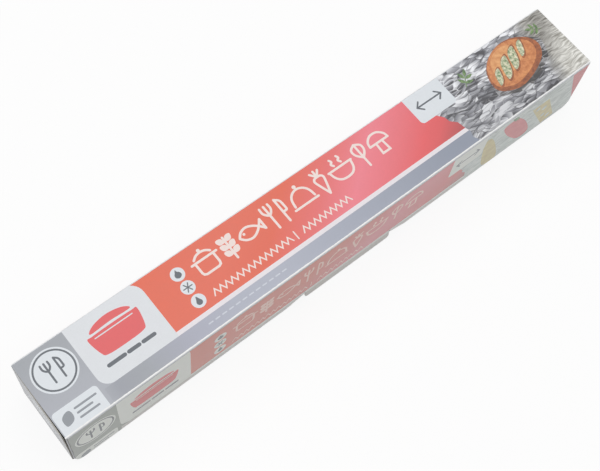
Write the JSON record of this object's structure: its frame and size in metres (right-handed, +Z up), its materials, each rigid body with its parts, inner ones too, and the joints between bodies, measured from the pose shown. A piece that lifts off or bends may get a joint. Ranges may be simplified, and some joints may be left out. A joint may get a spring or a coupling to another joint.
{
  "type": "boxed aluminium foil roll",
  "caption": "Household aluminium foil wound on a card core, lying in a printed folded carton with a hinged lid, a front flap with a thumb tab, and a saw-toothed steel cutter",
  "frame": {"origin": "on the surface that the carton stands on, midway between its ends and midway between the front flap's outer face and the back wall's outer face", "axes": "+X along the roll, -Y out of the front flap, +Z up through the lid"},
  "size_m": [0.298, 0.0391, 0.038],
  "materials": {
    "tray_board": "coated folding boxboard, uncoated grey inside",
    "printed_board": "printed and varnished folding boxboard",
    "cutter_steel": "bright tinned strip",
    "foil": "bright rolled foil",
    "core_board": "spiral-wound grey-brown board"
  },
  "bodies": {
    "tray": {"carton_tray": "tray_board", "foil_roll": "foil", "core_tube": "core_board"},
    "lid": {"lid_panel": "printed_board"},
    "flap": {"front_flap": "printed_board", "cutter_strip": "cutter_steel"}
  },
  "joints": [
    {"name": "lid_hinge", "type": "hinge", "parent": "tray", "child": "lid", "pos_m": [0, 0.01878, 0.03773], "axis": [-1, 0, 0], "range_deg": [0, 180]},
    {"name": "flap_fold", "type": "hinge", "parent": "lid", "child": "flap", "pos_m": [0, -0.01878, 0.03773], "axis": [-1, 0, 0], "range_deg": [0, 90]}
  ]
}
